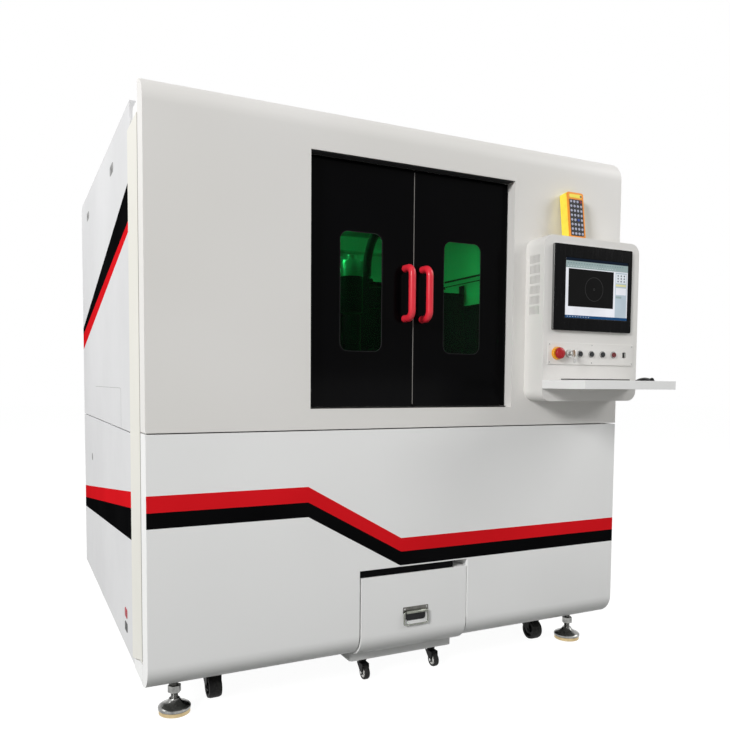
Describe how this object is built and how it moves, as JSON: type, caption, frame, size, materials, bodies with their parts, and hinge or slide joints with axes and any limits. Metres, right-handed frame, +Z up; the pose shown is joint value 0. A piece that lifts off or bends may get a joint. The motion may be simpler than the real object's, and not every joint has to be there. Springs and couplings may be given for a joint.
{
  "type": "fiber laser cutting machine",
  "caption": "Enclosed sheet-metal laser cutter with twin windowed doors, operator console with monitor and keyboard tray, and a roll-out scrap cart.",
  "frame": {"origin": "on the floor, under the centre of the machine's overall box", "axes": "+X to the operator's right, +Y into the machine, +Z up"},
  "size_m": [1.774, 2.1116, 1.88],
  "materials": {
    "white_paint": "white powder coat, semi-gloss",
    "frame_paint": "light grey powder coat",
    "black_paint": "black powder coat, satin",
    "red_paint": "red powder coat",
    "granite": "lapped black granite",
    "window": "green laser-safety pane",
    "anodised": "clear anodised",
    "black_plastic": "black moulding",
    "black_housing": "black rack casing",
    "dark_steel": "dark steel",
    "red_plastic": "red moulding",
    "yellow_plastic": "yellow moulding",
    "tyre": "rubber tread on a hub",
    "zinc": "zinc plated steel"
  },
  "bodies": {
    "machine": {"base_frame": "frame_paint", "granite_bed": "granite", "lower_front_panel": "white_paint", "upper_front_panel": "white_paint", "left_lower_panel": "white_paint", "right_lower_panel": "white_paint", "left_upper_panel": "white_paint", "right_upper_panel": "white_paint", "back_lower_panel": "white_paint", "back_upper_panel": "white_paint", "roof_panel": "white_paint", "door_frame": "frame_paint", "front_left_foot": "zinc", "front_right_foot": "zinc", "rear_left_foot": "zinc", "rear_right_foot": "zinc", "console_housing": "white_paint", "monitor": "black_plastic", "switch_plate": "white_paint", "keyboard_tray": "white_paint", "mouse": "black_plastic", "remote": "yellow_plastic", "laser_source": "black_housing", "sheet_fixture": "anodised"},
    "gantry": {"gantry_beam": "black_paint"},
    "carriage": {"x_carriage": "black_housing"},
    "head": {"cutting_head": "anodised"},
    "left_door": {"left_door": "black_paint", "left_window": "window", "left_handle": "red_paint"},
    "right_door": {"right_door": "black_paint", "right_window": "window", "right_handle": "red_paint"},
    "estop": {"estop_button": "red_plastic"},
    "key": {"key": "zinc"},
    "button_1": {"push_button_1": "black_plastic"},
    "button_2": {"push_button_2": "black_plastic"},
    "button_3": {"push_button_3": "black_plastic"},
    "button_4": {"push_button_4": "black_plastic"},
    "cart": {"cart_bin": "frame_paint", "cart_front": "white_paint", "cart_base": "white_paint", "cart_handle_plate": "dark_steel"},
    "bail": {"cart_bail": "dark_steel"},
    "front_left_caster_fork": {"front_left_caster_fork": "black_plastic"},
    "front_left_caster_wheel": {"front_left_caster_wheel": "tyre"},
    "cart_front_left_caster_fork": {"cart_front_left_caster_fork": "black_plastic"},
    "cart_front_left_caster_wheel": {"cart_front_left_caster_wheel": "tyre"},
    "front_right_caster_fork": {"front_right_caster_fork": "black_plastic"},
    "front_right_caster_wheel": {"front_right_caster_wheel": "tyre"},
    "cart_front_right_caster_fork": {"cart_front_right_caster_fork": "black_plastic"},
    "cart_front_right_caster_wheel": {"cart_front_right_caster_wheel": "tyre"},
    "rear_left_caster_fork": {"rear_left_caster_fork": "black_plastic"},
    "rear_left_caster_wheel": {"rear_left_caster_wheel": "tyre"},
    "cart_rear_left_caster_fork": {"cart_rear_left_caster_fork": "black_plastic"},
    "cart_rear_left_caster_wheel": {"cart_rear_left_caster_wheel": "tyre"},
    "rear_right_caster_fork": {"rear_right_caster_fork": "black_plastic"},
    "rear_right_caster_wheel": {"rear_right_caster_wheel": "tyre"},
    "cart_rear_right_caster_fork": {"cart_rear_right_caster_fork": "black_plastic"},
    "cart_rear_right_caster_wheel": {"cart_rear_right_caster_wheel": "tyre"}
  },
  "joints": [
    {"name": "left_door_hinge", "type": "hinge", "parent": "machine", "child": "left_door", "pos_m": [-0.375, -0.70125, 1.341], "axis": [0, 0, -1], "range_deg": [0, 90]},
    {"name": "right_door_hinge", "type": "hinge", "parent": "machine", "child": "right_door", "pos_m": [0.375, -0.70125, 1.341], "axis": [0, 0, 1], "range_deg": [0, 90]},
    {"name": "gantry_y", "type": "slide", "parent": "machine", "child": "gantry", "axis": [0, 1, 0], "range_m": [-0.18, 0.32]},
    {"name": "carriage_x", "type": "slide", "parent": "gantry", "child": "carriage", "axis": [1, 0, 0], "range_m": [-0.36, 0.35]},
    {"name": "head_z", "type": "slide", "parent": "carriage", "child": "head", "axis": [0, 0, 1], "range_m": [-0.055, 0.045]},
    {"name": "estop_push", "type": "slide", "parent": "machine", "child": "estop", "axis": [0, 1, 0], "range_m": [0, 0.004], "stiffness_N_per_m": 1500},
    {"name": "key_turn", "type": "hinge", "parent": "machine", "child": "key", "pos_m": [0.553, -0.84755, 1.1345], "axis": [0, 1, 0], "range_deg": [0, 90]},
    {"name": "button_1_push", "type": "slide", "parent": "machine", "child": "button_1", "axis": [0, 1, 0], "range_m": [0, 0.003], "stiffness_N_per_m": 600},
    {"name": "button_2_push", "type": "slide", "parent": "machine", "child": "button_2", "axis": [0, 1, 0], "range_m": [0, 0.003], "stiffness_N_per_m": 600},
    {"name": "button_3_push", "type": "slide", "parent": "machine", "child": "button_3", "axis": [0, 1, 0], "range_m": [0, 0.003], "stiffness_N_per_m": 600},
    {"name": "button_4_push", "type": "slide", "parent": "machine", "child": "button_4", "axis": [0, 1, 0], "range_m": [0, 0.003], "stiffness_N_per_m": 600},
    {"name": "cart_roll_out", "type": "slide", "parent": "machine", "child": "cart", "axis": [0, -1, 0], "range_m": [0, 0.9]},
    {"name": "bail_swing", "type": "hinge", "parent": "cart", "child": "bail", "pos_m": [0, -0.7504, 0.2525], "axis": [-1, 0, 0], "range_deg": [0, 90]},
    {"name": "front_left_caster_swivel", "type": "hinge", "parent": "machine", "child": "front_left_caster_fork", "pos_m": [-0.65, -0.53425, 0.125], "axis": [0, 0, 1], "continuous": true},
    {"name": "front_left_caster_roll", "type": "hinge", "parent": "front_left_caster_fork", "child": "front_left_caster_wheel", "pos_m": [-0.65, -0.56425, 0.0405], "axis": [1, 0, 0], "continuous": true},
    {"name": "cart_front_left_caster_swivel", "type": "hinge", "parent": "cart", "child": "cart_front_left_caster_fork", "pos_m": [-0.139, -0.61925, 0.075], "axis": [0, 0, 1], "continuous": true},
    {"name": "cart_front_left_caster_roll", "type": "hinge", "parent": "cart_front_left_caster_fork", "child": "cart_front_left_caster_wheel", "pos_m": [-0.139, -0.63925, 0.026], "axis": [1, 0, 0], "continuous": true},
    {"name": "front_right_caster_swivel", "type": "hinge", "parent": "machine", "child": "front_right_caster_fork", "pos_m": [0.65, -0.53425, 0.125], "axis": [0, 0, 1], "continuous": true},
    {"name": "front_right_caster_roll", "type": "hinge", "parent": "front_right_caster_fork", "child": "front_right_caster_wheel", "pos_m": [0.65, -0.56425, 0.0405], "axis": [1, 0, 0], "continuous": true},
    {"name": "cart_front_right_caster_swivel", "type": "hinge", "parent": "cart", "child": "cart_front_right_caster_fork", "pos_m": [0.139, -0.61925, 0.075], "axis": [0, 0, 1], "continuous": true},
    {"name": "cart_front_right_caster_roll", "type": "hinge", "parent": "cart_front_right_caster_fork", "child": "cart_front_right_caster_wheel", "pos_m": [0.139, -0.63925, 0.026], "axis": [1, 0, 0], "continuous": true},
    {"name": "rear_left_caster_swivel", "type": "hinge", "parent": "machine", "child": "rear_left_caster_fork", "pos_m": [-0.65, 0.84575, 0.125], "axis": [0, 0, 1], "continuous": true},
    {"name": "rear_left_caster_roll", "type": "hinge", "parent": "rear_left_caster_fork", "child": "rear_left_caster_wheel", "pos_m": [-0.65, 0.81575, 0.0405], "axis": [1, 0, 0], "continuous": true},
    {"name": "cart_rear_left_caster_swivel", "type": "hinge", "parent": "cart", "child": "cart_rear_left_caster_fork", "pos_m": [-0.139, 0.11575, 0.075], "axis": [0, 0, 1], "continuous": true},
    {"name": "cart_rear_left_caster_roll", "type": "hinge", "parent": "cart_rear_left_caster_fork", "child": "cart_rear_left_caster_wheel", "pos_m": [-0.139, 0.09575, 0.026], "axis": [1, 0, 0], "continuous": true},
    {"name": "rear_right_caster_swivel", "type": "hinge", "parent": "machine", "child": "rear_right_caster_fork", "pos_m": [0.65, 0.84575, 0.125], "axis": [0, 0, 1], "continuous": true},
    {"name": "rear_right_caster_roll", "type": "hinge", "parent": "rear_right_caster_fork", "child": "rear_right_caster_wheel", "pos_m": [0.65, 0.81575, 0.0405], "axis": [1, 0, 0], "continuous": true},
    {"name": "cart_rear_right_caster_swivel", "type": "hinge", "parent": "cart", "child": "cart_rear_right_caster_fork", "pos_m": [0.139, 0.11575, 0.075], "axis": [0, 0, 1], "continuous": true},
    {"name": "cart_rear_right_caster_roll", "type": "hinge", "parent": "cart_rear_right_caster_fork", "child": "cart_rear_right_caster_wheel", "pos_m": [0.139, 0.09575, 0.026], "axis": [1, 0, 0], "continuous": true}
  ]
}
